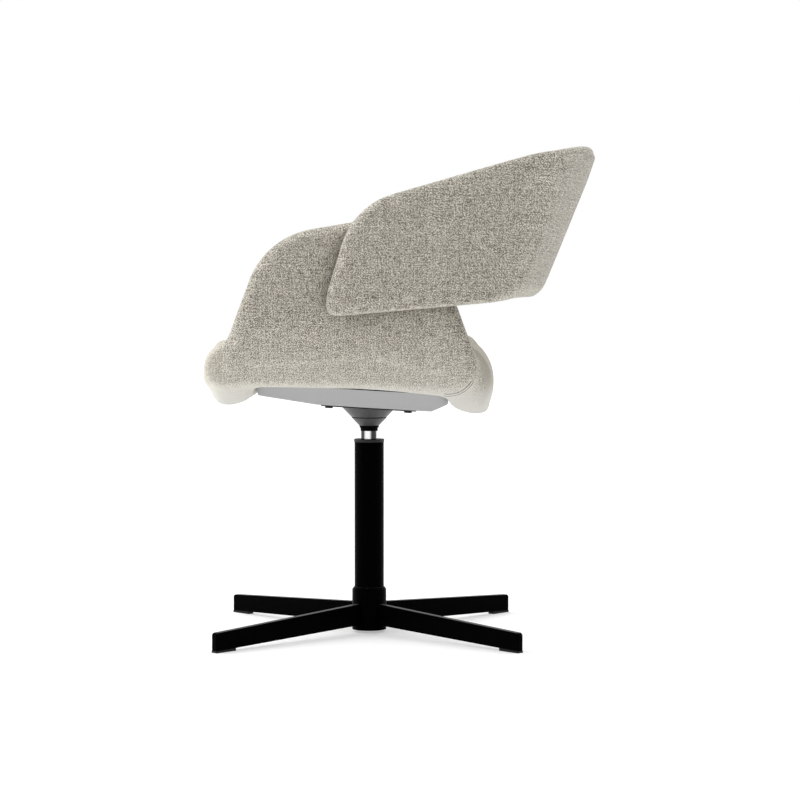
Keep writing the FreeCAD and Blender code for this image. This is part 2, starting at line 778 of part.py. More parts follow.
def make_arms():
    """Cores, padding and angles of both wings."""
    pad = arm_panel(arm_wire(0), arm_outer, arm_inner)
    pad = pad.makeFillet(arm_rim, rim_edges(pad))
    pocket = arm_panel(arm_wire(core_margin - soft_gap), arm_core_outer - soft_gap, arm_core_inner + soft_gap)
    core = arm_panel(arm_wire(core_margin), arm_core_outer, arm_core_inner)
    pad = pad.cut(pocket).cut(bracket_wall(soft_gap)).cut(bracket_floor(soft_gap))
    flush = arm_core_inner + bracket_thickness
    for bar in bracket_wall_screws(screw_head_radius + soft_gap, flush + screw_head_height + soft_gap, flush):
        pad = pad.cut(bar)
    for bar in bracket_wall_screws(screw_radius + fit_gap, flush, arm_core_outer):
        core = core.cut(bar)
    for y, z in band_bolt_places:
        head = arm_core_inner + band_bolt_head_height + soft_gap
        pad = pad.cut(across(y, z, head, arm_core_outer, band_bolt_head_radius + soft_gap))
        pad = pad.cut(across(y, z, arm_core_outer, 0, bolt_radius + hole_gap))
        core = core.cut(across(y, z, arm_inner, 0, bolt_radius + hole_gap))
    angle = bracket_floor(0).fuse(bracket_wall(0)).removeSplitter()
    angle = angle.cut(bracket_floor_screws(screw_radius + hole_gap, 0, far))
    for bar in bracket_wall_screws(screw_radius + hole_gap, arm_inner, arm_core_inner - bracket_thickness):
        angle = angle.cut(bar)
    for name, piece in (("arm_pad", pad), ("arm_core", core), ("arm_bracket", angle)):
        parts[name + "_left"] = raised(piece)
        parts[name + "_right"] = raised(mirrored(piece))
    screws = []
    foot_top = board_top + bracket_thickness
    shanks = bracket_floor_screws(screw_radius, board_top - screw_length, foot_top)
    heads = bracket_floor_screws(screw_head_radius, foot_top, foot_top + screw_head_height)
    for shank, head in zip(shanks.Solids, heads.Solids):
        screws.append(shank.fuse(head).removeSplitter())
    shanks = bracket_wall_screws(screw_radius, flush, flush - screw_length)
    heads = bracket_wall_screws(screw_head_radius, flush + screw_head_height, flush)
    for shank, head in zip(shanks, heads):
        screw = shank.fuse(head).removeSplitter()
        screws.extend([screw, mirrored(screw)])
    parts["bracket_screws"] = raised(Part.makeCompound(screws))


def rim_edges(panel):
    """Edges of a panel's upper, lower and end faces, which stand square to the side view."""
    edges = []
    for face in panel.Faces:
        plain = face.Surface.TypeId in ("Part::GeomPlane", "Part::GeomCylinder")
        if plain and abs(face.normalAt(0, 0).x) < 0.5:
            for edge in face.Edges:
                crosswise = edge.Curve.TypeId == "Part::GeomLine" and abs(edge.Curve.Direction.x) > 0.99
                if not crosswise:
                    edges.append(edge)
    return edges


def u_plan(z, side, rear):
    """Closed plan outline of the wrap-round back at height z, moved in at the sides and at the rear."""
    half = half_width(z) - side
    back = back_reach + (z - back_level) * math.tan(math.radians(back_lean)) - rear
    corner = band_corner + (z - band_front_foot_z) * band_corner_growth - rear
    turn = math.radians(band_turn)
    sweep = corner + (half - corner) / math.cos(turn)
    centre = back - sweep
    corner_y = centre + (sweep - corner) * math.sin(turn)

    def on_corner(angle, hand):
        return V(hand * (half - corner + corner * math.cos(angle)), corner_y + corner * math.sin(angle), z)

    left = [V(half, corner_y, z), on_corner(turn / 2, 1), on_corner(turn, 1)]
    right = [on_corner(turn, -1), on_corner(turn / 2, -1), V(-half, corner_y, z)]
    front_left = V(half, -far, z)
    front_right = V(-half, -far, z)
    edges = [
        Part.LineSegment(front_left, left[0]).toShape(),
        Part.Arc(*left).toShape(),
        Part.Arc(left[2], V(0, back, z), right[0]).toShape(),
        Part.Arc(*right).toShape(),
        Part.LineSegment(right[2], front_right).toShape(),
        Part.LineSegment(front_right, front_left).toShape(),
    ]
    return Part.Wire(edges)


def band_wire(inset):
    """Outline of the wrap-round back seen from the side, moved in by inset."""
    bottom = band_front_foot_z + (far + band_front_foot_y) * math.tan(math.radians(band_bottom_rise))
    top = band_shoulder_z + (far + band_shoulder_y) * math.tan(math.radians(band_top_rise))
    corners = [
        (-band_front_foot_y, band_front_foot_z, band_foot_radius),
        (-band_front_y, band_front_z, band_front_radius),
        (-band_shoulder_y, band_shoulder_z, band_shoulder_radius),
        (far, top, 0),
        (far, bottom, 0),
    ]
    wire = rounded_wire(corners, side_view(-far))
    if inset:
        wire = wire.makeOffset2D(-inset)
    return wire


def back_form(side, rear):
    """Solid inside the wrap-round back's outer face moved in at the sides and at the rear."""
    low = band_front_foot_z - 2 * band_thickness
    high = band_front_foot_z + far * math.tan(math.radians(band_top_rise)) + 5 * band_thickness
    return Part.makeLoft([u_plan(low, side, rear), u_plan(high, side, rear)], True, True)


def back_panel(wire, outer, inner):
    """Wrap-round panel between two (side, rear) depths with a side outline."""
    return back_form(*outer).cut(back_form(*inner)).common(Part.Face(wire).extrude(V(2 * far, 0, 0)))


def lies_on(edge, form):
    """Whether the middle of an edge lies on a solid's surface."""
    middle = edge.valueAt((edge.FirstParameter + edge.LastParameter) / 2)
    return form.Shells[0].distToShape(Part.Vertex(middle))[0] < fit_gap


def make_back():
    """Bent core, padding and bolts of the wrap-round back."""
    side = back_core_side
    rear = back_core_rear
    thick = back_core_thickness
    pad = back_panel(band_wire(0), (0, 0), (band_thickness, back_thickness))
    outer_face = back_form(0, 0)
    pad = pad.makeFillet(band_rim, [edge for edge in rim_edges(pad) if not lies_on(edge, outer_face)])
    pad = pad.makeFillet(band_outer_rim, [edge for edge in rim_edges(pad) if lies_on(edge, outer_face)])
    pocket = back_panel(band_wire(core_margin - soft_gap), (side - soft_gap, rear - soft_gap),
                        (side + thick + soft_gap, rear + thick + soft_gap))
    core = back_panel(band_wire(core_margin), (side, rear), (side + thick, rear + thick))
    pad = pad.cut(pocket)
    bolts = []
    nuts = []
    barrel = bolt_radius + fit_gap + nut_barrel_wall
    for y, z in band_bolt_places:
        room = across(y, z, arm_inner, side + thick, bolt_radius + hole_gap)
        room = room.fuse(across(y, z, side, side - nut_flange - soft_gap, nut_flange_radius + soft_gap))
        pad = pad.cut(both_sides(room))
        core = core.cut(both_sides(across(y, z, arm_inner, 0, barrel + fit_gap)))
        bolt = across(y, z, arm_core_inner, side, bolt_radius)
        bolt = bolt.fuse(across(y, z, arm_core_inner + band_bolt_head_height, arm_core_inner,
                                band_bolt_head_radius)).removeSplitter()
        nut = across(y, z, side + nut_barrel, side, barrel)
        nut = nut.fuse(across(y, z, side, side - nut_flange, nut_flange_radius))
        nut = nut.cut(across(y, z, arm_inner, 0, bolt_radius + fit_gap)).removeSplitter()
        bolts.extend([bolt, mirrored(bolt)])
        nuts.extend([nut, mirrored(nut)])
    parts["back_pad"] = raised(pad)
    parts["back_core"] = raised(core)
    parts["back_bolts"] = raised(Part.makeCompound(bolts))
    parts["back_nuts"] = raised(Part.makeCompound(nuts))


make_base()
make_column()
make_bearing()
make_rod()
make_pan()
make_seat()
make_arms()
make_back()

os.makedirs("parts", exist_ok=True)
for name, shape in parts.items():
    shape.exportStep(os.path.join("parts", name + ".step"))
    print(f"{name}: {len(shape.Solids)} solids, {shape.Volume / 1000:.1f} cm3, valid {shape.isValid()}")
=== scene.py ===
"""Swivel dining armchair: upholstery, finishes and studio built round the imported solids."""

import math

import bmesh
import bpy
from bpy.props import FloatProperty, FloatVectorProperty, IntProperty, PointerProperty
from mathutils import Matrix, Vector
from mathutils.bvhtree import BVHTree


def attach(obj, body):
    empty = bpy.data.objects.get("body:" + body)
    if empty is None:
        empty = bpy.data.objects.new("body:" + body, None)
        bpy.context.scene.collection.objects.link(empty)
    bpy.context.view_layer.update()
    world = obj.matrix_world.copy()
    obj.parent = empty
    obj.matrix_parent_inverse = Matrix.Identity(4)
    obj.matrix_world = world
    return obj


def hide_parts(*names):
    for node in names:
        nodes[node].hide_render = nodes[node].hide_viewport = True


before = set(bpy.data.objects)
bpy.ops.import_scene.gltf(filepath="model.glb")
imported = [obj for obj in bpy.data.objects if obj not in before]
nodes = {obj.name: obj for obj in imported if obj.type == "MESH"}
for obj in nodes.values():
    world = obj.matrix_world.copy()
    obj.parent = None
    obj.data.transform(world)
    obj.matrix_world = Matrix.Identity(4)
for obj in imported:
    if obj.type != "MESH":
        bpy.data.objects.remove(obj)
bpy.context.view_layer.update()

bl_info = {
    "name": "Swivel Dining Armchair",
    "version": (1, 0, 0),
    "blender": (4, 5, 0),
    "location": "View3D > Sidebar > Armchair",
    "description": "Upholstery, finishes and studio of a swivel dining armchair",
    "category": "Object",
}

# Solids that come in groups
CORNERS = ("front_left", "front_right", "rear_left", "rear_right")
SEAT_PADS = ["seat_pad", "arm_pad_left", "arm_pad_right", "underside_pad"]
SEAT_HARDWARE = ["arm_core_left", "arm_core_right", "arm_bracket_left", "arm_bracket_right", "bracket_screws",
                 "back_bolts", "seat_board", "t_nuts", "spacer_tubes", "plate_bolts"]
BACK_HARDWARE = ["back_core", "back_bolts", "back_nuts"]

# Padding: distances in metres, shares of a step, and heights of a face's normal
WELD = 0.00002
TOUCH = 0.0012
SMOOTH_PASSES = 3
SMOOTH_SHARE = 0.5
SWELL_SHARE = 0.52
UNDERSIDE = (-0.7, -0.2)
COVER_CLOTH = {"quality": 5, "mass": 0.3, "tension_stiffness": 15.0, "compression_stiffness": 15.0,
               "bending_stiffness": 0.5, "use_pressure": True}

# Painted shade on the cloth beside the back, darker where the back shuts off more of a place's outlook:
# directions in degrees that each place looks out in
PAINTED_SHADE_ATTRIBUTE = "crease"
SHADE_RAY_LIFT = 0.0005
SHADE_RAY_TILTS = range(10, 90, 16)
SHADE_RAY_TURNS = range(0, 360, 30)
PAINTED_SHADE_SHARE = 0.54

# Seam of the wing
SEAM_STEPS = 24
SEAM_START = math.radians(-30.0)
SEAM_END = math.radians(-100.0)
THREAD_SIDES = 6

# Weave: what each part adds to the cloth's tone, and how fast the thick places change from yarn to yarn
MIDDLE_TONE = 0.51
FLECK_WEIGHT = 1.35
NEIGHBOURS = ((-1.0, 0.0), (1.0, 0.0), (0.0, 1.0), (0.0, -1.0))
NEIGHBOUR_WEIGHT = 0.16
YARN_WEIGHT = 0.3
SLUB_WEIGHT = 0.9
SLUB_ACROSS = 0.7
SLUB_ALONG = 0.07
SLUB_OTHER_LAYER = 9.0
# Pale cloth low down, partly a paler cloth under the seat and partly painted light from the floor: its share
LINING_AND_FLOOR_LIGHT_SHARE = 0.82

# Painted light from the floor: paler cloth low down and on faces that look down, what each adds to the tone
# and takes from the flecks
LOW_RISE = 0.12
LOW_PAINTED_LIGHT = 0.28
LOW_CALM = 0.3
DOWNWARD = (-0.2, -0.8)
DOWN_PAINTED_LIGHT = 0.25

# Calmer cloth of the rolls, in metres along y. The rear one lies behind the wing's edge, which leans with z
FRONT_ROLL = (-0.222, -0.25)
FRONT_CALM = 0.45
REAR_LEAN = 0.3
REAR_ROLL = (0.311, 0.321)
REAR_CALM = 0.65
# Painted shade along the wing's rear edge, where it turns in over the rear roll: its edges and its depth
WING_EDGE = (0.286, 0.312)
WING_EDGE_PAINTED_SHADE = 0.1

# Grain of coats and castings
SLOW_TONE = 14.0
GRAIN_DETAIL = 3.0
GRAIN_BUMP = 0.35

# Metal parts
# Painted reflection on the rod: number, start and edges of its dark and bright stripes, and how dark the dark
# ones are
ROD_REFLECTIONS = 4
ROD_REFLECTION_START = math.radians(9.0)
ROD_REFLECTION_EDGES = (-0.5, 0.9)
ROD_DARK_REFLECTION = 0.05
# Painted shade in the groove of the joint between the tapered rings: half its height, and how dark it is
JOINT_HALF_HEIGHT = 0.0008
JOINT_SHADE = 0.03
PLY_THICKNESS = 0.0013

# Studio, in metres
FLOOR_RADIUS = 30.0
FLOOR_SIDES = 96
FRONT_BOX_PLACE = (0.5, -2.4, 0.45)
REAR_BOX_PLACE = (0.2, 2.5, 0.45)
BOX_WIDTH = 2.2
BOX_HEIGHT = 0.8
LAMP_AIM = Vector((0.0, 0.0, 0.5))
DARK_SIDE_EDGES = (0.1, 0.95)
SENSOR_WIDTH = 36.0


def tint(name, description, colour):
    """A colour that the user may change."""
    return FloatVectorProperty(name=name, description=description, subtype="COLOR", size=3,
                               min=0.0, max=1.0, default=colour)


def length(name, description, metres):
    """A size that the user may change."""
    return FloatProperty(name=name, description=description, unit="LENGTH", precision=4, default=metres)


def lengths(name, description, metres):
    """Sizes that the user may change together."""
    return FloatVectorProperty(name=name, description=description, unit="LENGTH", precision=4,
                               size=len(metres), default=metres)


def amount(name, description, value):
    """A plain number that the user may change."""
    return FloatProperty(name=name, description=description, default=value)


def power(name, description, watts):
    """A lamp's power that the user may change."""
    return FloatProperty(name=name, description=description, subtype="POWER", default=watts)


class ChairUpholstery(bpy.types.PropertyGroup):
    """Padding and fabric."""

    grid: length("Grid", "Spacing of the mesh over the padding", 0.006)
    fine_grid: length("Fine grid", "Spacing of the mesh over the back, whose outer edge is crisp", 0.0055)
    draw_in: length("Draw in", "How far the cover starts inside the foam", 0.0008)
    swell: length("Swell", "Most that the cover may move while it is blown up", 0.0036)
    top_reach: lengths("Top reach", "How far the back's top is drawn out before it is rounded",
                       (0.0, 0.005, 0.008))
    top_thickness: length("Top thickness", "Padding over the upper edge of the back's board", 0.0145)
    pressure: amount("Pressure", "Push of the foam against the cover", 4.0)
    steps: IntProperty(name="Steps", description="Frames that the cover is blown up for", default=20)
    pitch: length("Yarn pitch", "Distance between two yarns of the weave", 0.0013)
    yarn_height: length("Yarn height", "Depth of the weave's relief", 0.0004)
    dark_yarn: tint("Dark yarn", "Darkest flecks of the fabric", (0.085, 0.073, 0.057))
    mid_yarn: tint("Middle yarn", "Ground of the fabric", (0.45, 0.414, 0.343))
    light_yarn: tint("Light yarn", "Palest flecks of the fabric", (0.92, 0.88, 0.78))
    # Pale cloth low down: partly a paler cloth under the seat and partly painted light from the floor
    pale_cloth_and_floor_light: tint("Pale cloth", "Smooth cloth of the rolls under the seat", (0.86, 0.845, 0.785))
    seam_thread: tint("Seam thread", "Sewing thread along the seams", (0.10, 0.092, 0.08))
    seam_centre: lengths("Seam centre", "Centre of the seam's bend, along y and up z", (0.1301, 0.4549))
    seam_reach: lengths("Seam reach", "Radii of the two rows of thread", (0.0450, 0.0415))
    seam_radius: length("Seam thread radius", "Half the thickness of the sewing thread", 0.00045)
    pale_top: length("Pale from", "Height at which the cloth begins to pale", 0.438)
    pale_bottom: length("Pale at", "Height at which the cloth is palest", 0.404)
    # Painted shade: how far from the back the cloth is darkened
    painted_shade_reach: length("Crease reach", "How far the back darkens the cloth beside it", 0.038)


class ChairFinishes(bpy.types.PropertyGroup):
    """Colours of what isn't upholstered."""

    black: tint("Black coat", "Powder coat of legs, hub and column, and the seals", (0.0002, 0.0002, 0.0002))
    moulding: tint("Black moulding", "Collar, glides and plate", (0.010, 0.010, 0.0105))
    rubber: tint("Rubber", "Gasket and buffer", (0.012, 0.012, 0.012))
    bush: tint("Pale moulding", "Guide bush and ball cage", (0.62, 0.60, 0.55))
    cone: tint("Dark grey metal", "Tapered rings under the seat", (0.085, 0.085, 0.086))
    tray: tint("Grey coat", "Tray under the seat", (0.52, 0.525, 0.535))
    steel: tint("Plain steel", "Bolts, plates and brackets", (0.42, 0.42, 0.43))
    chrome: tint("Polished steel", "Swivel rod and bearing", (0.74, 0.74, 0.75))
    wood: tint("Plywood", "Boards inside the padding", (0.56, 0.40, 0.24))


class ChairStudio(bpy.types.PropertyGroup):
    """Floor, light and camera."""

    floor: tint("Floor", "Pale floor", (0.76, 0.76, 0.76))
    floor_lift: amount("Floor lift", "White that the camera sees on the floor", 0.35)
    room: amount("Room", "Light from the walls", 0.98)
    dark_side: amount("Dark side", "Light from behind the camera", 0.12)
    rear_fall: amount("Rear fall", "How much dimmer the wall behind the chair is", 0.48)
    ceiling: amount("Ceiling", "How much brighter the ceiling is", 0.8)
    front_box: power("Front soft box", "Lamp in front of the chair", 7.0)
    rear_box: power("Rear soft box", "Lamp behind the chair", 0.8)
    lens: amount("Lens", "Focal length in millimetres", 103.7)
    distance: length("Camera distance", "Camera to the swivel axis", 3.9045)
    along: length("Camera offset", "Camera along the chair's length", 0.05234)
    height: length("Camera height", "Camera above the floor", 0.56477)
    pitch: FloatProperty(name="Camera pitch", description="How far the camera looks down", subtype="ANGLE",
                         default=math.radians(2.504))


class Wire:
    """A shader socket that takes part in Python arithmetic."""

    def __init__(self, finish, socket):
        self.finish = finish
        self.socket = socket

    def __add__(self, other):
        return self.finish.maths("ADD", self, other)

    def __sub__(self, other):
        return self.finish.maths("SUBTRACT", self, other)

    def __rsub__(self, other):
        return self.finish.maths("SUBTRACT", other, self)

    def __mul__(self, other):
        return self.finish.maths("MULTIPLY", self, other)

    def __truediv__(self, other):
        return self.finish.maths("DIVIDE", self, other)

    def __mod__(self, other):
        return self.finish.maths("FLOORED_MODULO", self, other)

    def __pow__(self, other):
        return self.finish.maths("POWER", self, other)

    def __gt__(self, other):
        return self.finish.maths("GREATER_THAN", self, other)

    def __abs__(self):
        return self.finish.maths("ABSOLUTE", self)

    def __floor__(self):
        return self.finish.maths("FLOOR", self)

    __radd__ = __add__
    __rmul__ = __mul__


class Finish:
    """A material's nodes, and the maths that joins them."""

    def __init__(self, tree):
        self.tree = tree
        tree.nodes.clear()

    def node(self, kind, settings=None, sockets=None, output=0):
        """One node: its settings first, then the values or links of its sockets."""
        made = self.tree.nodes.new(kind)
        for name, value in (settings or {}).items():
            if name == "stops":
                self.set_stops(made.color_ramp.elements, value)
            else:
                setattr(made, name, value)
        for name, value in (sockets or {}).items():
            if isinstance(value, Wire):
                self.tree.links.new(value.socket, made.inputs[name])
            else:
                made.inputs[name].default_value = value
        return Wire(self, made.outputs[output]) if made.outputs else None

    @staticmethod
    def set_stops(elements, stops):
        """Colours of a ramp at their places."""
        while len(elements) < len(stops):
            elements.new(1.0)
        for element, (place, colour) in zip(elements, stops):
            element.position = place
            element.color = (*colour, 1.0)

    def maths(self, operation, first, second=0.0):
        """One Math node."""
        return self.node("ShaderNodeMath", {"operation": operation}, {0: first, 1: second})

    def split(self, vector):
        """The three values of a vector."""
        return [self.node("ShaderNodeSeparateXYZ", sockets={0: vector}, output=axis) for axis in range(3)]

    def join(self, x, y, z):
        """A vector from three values."""
        return self.node("ShaderNodeCombineXYZ", sockets={0: x, 1: y, 2: z})

    def noise(self, vector, scale=1.0, detail=2.0):
        """Cloudy values from 0 to 1."""
        return self.node("ShaderNodeTexNoise", None, {"Vector": vector, "Scale": scale, "Detail": detail})

    def speck(self, first, second):
        """A random value for each pair of whole numbers."""
        return self.node("ShaderNodeTexWhiteNoise", {"noise_dimensions": "2D"},
                         {"Vector": self.join(first, second, 0.0)})

    def strand(self, number):
        """A random value for each number."""
        return self.node("ShaderNodeTexWhiteNoise", {"noise_dimensions": "1D"}, {"W": number})

    def soft_step(self, value, edges, ends=(0.0, 1.0)):
        """A soft step from one end to the other while a value goes from one edge to the other."""
        return self.node("ShaderNodeMapRange", {"interpolation_type": "SMOOTHSTEP"},
                         {"Value": value, "From Min": edges[0], "From Max": edges[1],
                          "To Min": ends[0], "To Max": ends[1]})

    def blend(self, share, first, second):
        """A colour between two colours."""
        return self.node("ShaderNodeMix", {"data_type": "RGBA"}, {0: share, 6: first, 7: second}, output=2)

    def ramp(self, value, stops):
        """A colour for each value."""
        return self.node("ShaderNodeValToRGB", {"stops": stops}, {0: value})

    def bump(self, height, distance, strength):
        """A normal from a height."""
        return self.node("ShaderNodeBump", None,
                         {"Height": height, "Distance": distance, "Strength": strength})

    def place(self, output="Object"):
        """Coordinates that stay with the piece."""
        return self.node("ShaderNodeTexCoord", output=output)

    def looked_at(self):
        """1 where the camera looks, also in a mirror or through glass, and 0 for other light."""
        seen, gloss, through = (self.node("ShaderNodeLightPath", output=ray)
                                for ray in ("Is Camera Ray", "Is Glossy Ray", "Is Transmission Ray"))
        return seen + gloss + through

    def surface(self, sockets):
        """The shader that ends the material."""
        shader = self.node("ShaderNodeBsdfPrincipled", None, sockets)
        self.node("ShaderNodeOutputMaterial", None, {"Surface": shader})


def opaque(colour):
    """A colour with its alpha."""
    return (*colour, 1.0)


def shade(colour, factor):
    """A lighter or darker colour."""
    return tuple(min(1.0, part * factor) for part in colour)


def new_material(name):
    """An empty material and its nodes."""
    material = bpy.data.materials.new(name)
    material.use_nodes = True
    return material, Finish(material.node_tree)


def flecks(cloth, warp, weft, over):
    """Light and dark of crossings, yarns and thick places, on both sides of 0."""
    warp_yarn = math.floor(warp)
    weft_yarn = math.floor(weft)
    beside = sum(cloth.speck(warp_yarn + step, weft_yarn + rank) for step, rank in NEIGHBOURS)
    crossing = cloth.speck(warp_yarn, weft_yarn) - 0.5 - (beside - 2.0) * NEIGHBOUR_WEIGHT
    warp_tone = cloth.strand(warp_yarn)
    weft_tone = cloth.strand(weft_yarn + 0.5)
    yarn = warp_tone + (weft_tone - warp_tone) * over
    slub = cloth.noise(cloth.join(warp * SLUB_ACROSS, weft * SLUB_ALONG, 0.0), detail=1.0)
    slub += cloth.noise(cloth.join(warp * SLUB_ALONG, weft * SLUB_ACROSS, SLUB_OTHER_LAYER), detail=1.0)
    return crossing * FLECK_WEIGHT + (yarn - 0.5) * YARN_WEIGHT + (slub - 1.0) * SLUB_WEIGHT


def yarn_relief(warp, weft, over):
    """Round backs of the yarns that lie on top."""
    warp_side = (warp - math.floor(warp)) * 2.0 - 1.0
    weft_side = (weft - math.floor(weft)) * 2.0 - 1.0
    warp_round = 1.0 - warp_side * warp_side
    weft_round = 1.0 - weft_side * weft_side
    return warp_round + (weft_round - warp_round) * over


def fabric(name, look, rolls=False):
    """Melange cloth: a plain weave of yarns that change from dark to pale along their length, with painted
    light from the floor low down and painted shade beside the back and along the wing's rear edge.
    """
    material, cloth = new_material(name)
    x, y, z = cloth.split(cloth.place())
    facing = cloth.split(cloth.place("Normal"))
    across, along, up = (abs(part) for part in facing)
    sideways = (across > along) * (across > up)
    level = (up > across) * (up > along)
    warp = (x + (y - x) * sideways) / look.pitch
    weft = (z + (y - z) * level) / look.pitch
    over = (math.floor(warp) + math.floor(weft)) % 2.0
    # Painted light from the floor: the cloth is paler, with calmer flecks, low down, and paler on faces that
    # look down
    low = cloth.soft_step(z, (look.pale_top + LOW_RISE, look.pale_bottom))
    calm = low * LOW_CALM
    ground = low * LOW_PAINTED_LIGHT + cloth.soft_step(facing[2], DOWNWARD) * DOWN_PAINTED_LIGHT + MIDDLE_TONE
    if rolls:
        rear = y + z * REAR_LEAN
        calm += cloth.soft_step(y, FRONT_ROLL) * FRONT_CALM + cloth.soft_step(rear, REAR_ROLL) * REAR_CALM
        # Painted shade: the cloth is darker towards the wing's rear edge
        ground -= cloth.soft_step(rear, WING_EDGE) * WING_EDGE_PAINTED_SHADE
    tone = flecks(cloth, warp, weft, over) * (1.0 - calm) + ground
    colour = cloth.ramp(tone, [(0.0, look.dark_yarn), (0.5, look.mid_yarn), (1.0, look.light_yarn)])
    # Painted shade: the cloth is darkened towards the dark yarn where the back shuts off its outlook
    crease = cloth.node("ShaderNodeAttribute", {"attribute_name": PAINTED_SHADE_ATTRIBUTE}, output="Fac")
    colour = cloth.blend(crease * crease * PAINTED_SHADE_SHARE, colour, opaque(look.dark_yarn))
    # Pale cloth low down: partly a paler cloth under the seat and partly painted light from the floor
    pale_lining_and_light = cloth.soft_step(z, (look.pale_top, look.pale_bottom)) * LINING_AND_FLOOR_LIGHT_SHARE
    cloth.surface({
        "Base Color": cloth.blend(pale_lining_and_light, colour, opaque(look.pale_cloth_and_floor_light)),
        "Roughness": 0.92 - tone * 0.1,
        "Normal": cloth.bump(yarn_relief(warp, weft, over) + tone * 0.5, look.yarn_height, 0.45),
        "Sheen Weight": 0.2,
        "Sheen Roughness": 0.4,
        "Specular IOR Level": 0.2,
    })
    return material


def grain_of(finish, scale):
    """Fine grain, a slow change of tone, and both in equal parts."""
    fine = finish.noise(finish.place(), scale=scale, detail=GRAIN_DETAIL)
    slow = finish.noise(finish.place(), scale=SLOW_TONE, detail=GRAIN_DETAIL)
    return fine, slow, fine * 0.5 + slow * 0.5


def coated(name, colour, roughness, grain, depth, metallic=0.0, specular=0.5, spread=0.12, sheen=0.0):
    """Paint, moulding or plated metal: fine grain with a slow change of tone."""
    material, coat = new_material(name)
    fine, slow, share = grain_of(coat, grain)
    coat.surface({
        "Base Color": coat.blend(share, opaque(shade(colour, 1.0 - spread)),
                                 opaque(shade(colour, 1.0 + spread))),
        "Roughness": roughness + (slow - 0.5) * 0.12 + (fine - 0.5) * 0.08,
        "Metallic": metallic,
        "Specular IOR Level": specular,
        "Sheen Weight": sheen,
        "Sheen Roughness": 0.3,
        "Normal": coat.bump(fine, depth, GRAIN_BUMP),
    })
    return material


def rod_with_painted_reflections(name, colour, roughness):
    """Polished bar with painted reflections: dark and bright stripes at fixed turns round it."""
    material, metal = new_material(name)
    x, y, z = metal.split(metal.place())
    turn = metal.maths("ARCTAN2", y, x)
    fine = metal.noise(metal.join(turn * 50.0, z * 30.0, 0.0))
    painted_reflection = metal.maths("COSINE", turn * ROD_REFLECTIONS + ROD_REFLECTIONS * ROD_REFLECTION_START)
    share = metal.soft_step(painted_reflection + (fine - 0.5) * 0.4, ROD_REFLECTION_EDGES)
    metal.surface({
        "Base Color": metal.blend(share, opaque(shade(colour, ROD_DARK_REFLECTION)), opaque(colour)),
        "Roughness": roughness + (fine - 0.5) * 0.08,
        "Metallic": 1.0,
        "Normal": metal.bump(fine, 0.00001, 0.2),
    })
    return material


def cast_rings(name, colour, joint):
    """Grey castings with painted shade in the groove of the joint between them."""
    material, cast = new_material(name)
    height = cast.split(cast.place())[2]
    fine, slow, share = grain_of(cast, 1200.0)
    tone = cast.blend(share, opaque(shade(colour, 0.92)), opaque(shade(colour, 1.08)))
    # Painted shade: a dark, rougher band where the joint's groove lies
    clear = abs(height - joint) > JOINT_HALF_HEIGHT
    cast.surface({
        "Base Color": cast.blend(clear, opaque(shade(colour, JOINT_SHADE)), tone),
        "Roughness": 0.42 + (slow - 0.5) * 0.12 + (1.0 - clear) * 0.5,
        "Metallic": 0.35,
        "Specular IOR Level": 0.5,
        "Normal": cast.bump(fine, 0.00008, GRAIN_BUMP),
    })
    return material


def turned_metal(name, colour, roughness, lines, depth):
    """Metal with the fine rings that turning or grinding leaves round the swivel axis."""
    material, metal = new_material(name)
    x, y, z = metal.split(metal.place())
    radius = (x * x + y * y) ** 0.5
    rings = metal.noise(metal.join(radius * lines, z * lines, 0.0), detail=3.0)
    slow = metal.noise(metal.place(), scale=40.0)
    metal.surface({
        "Base Color": metal.blend(rings, opaque(shade(colour, 0.9)), opaque(shade(colour, 1.08))),
        "Roughness": roughness + (rings - 0.5) * 0.1 + (slow - 0.5) * 0.06,
        "Metallic": 1.0,
        "Normal": metal.bump(rings, depth, 0.3),
    })
    return material


def plywood(name, colour):
    """Layered board with long grain."""
    material, wood = new_material(name)
    x, y, z = wood.split(wood.place())
    grain = wood.noise(wood.join(x * 160.0, y * 9.0, z * 160.0), detail=4.0)
    layer = math.floor(z / PLY_THICKNESS) % 2.0
    tone = grain * 0.7 + layer * 0.3
    wood.surface({
        "Base Color": wood.blend(tone, opaque(shade(colour, 0.62)), opaque(shade(colour, 1.2))),
        "Roughness": 0.62 + grain * 0.15,
        "Normal": wood.bump(grain, 0.0002, 0.3),
    })
    return material


def dress(names, material):
    """The finish of some solids that stay in view."""
    for name in names:
        mesh = nodes[name].data
        mesh.materials.clear()
        mesh.materials.append(material)


def mesh_of(name, form):
    """A mesh from a bmesh, which is freed."""
    mesh = bpy.data.meshes.new(name)
    form.to_mesh(mesh)
    form.free()
    return mesh


def add_object(name, data):
    """An object in the scene, at the origin."""
    made = bpy.data.objects.new(name, data)
    bpy.context.scene.collection.objects.link(made)
    return made


def face_tree(mesh):
    """A mesh's faces, sorted for finding the nearest."""
    form = bmesh.new()
    form.from_mesh(mesh)
    tree = BVHTree.FromBMesh(form)
    form.free()
    return tree


def clear_of_hardware(form, hardware):
    """Removes the pockets and holes that lie against the cores and bolts, and closes what is left open."""
    trees = [face_tree(nodes[name].data) for name in hardware]
    near = set()
    for vertex in form.verts:
        if any(tree.find_nearest(vertex.co, TOUCH)[0] is not None for tree in trees):
            near.add(vertex)
    inner = [face for face in form.faces if all(vertex in near for vertex in face.verts)]
    bmesh.ops.delete(form, geom=inner, context="FACES")
    rims = [edge for edge in form.edges if edge.is_boundary]
    bmesh.ops.holes_fill(form, edges=rims, sides=0)
    bmesh.ops.triangulate(form, faces=[face for face in form.faces if len(face.verts) > 4])


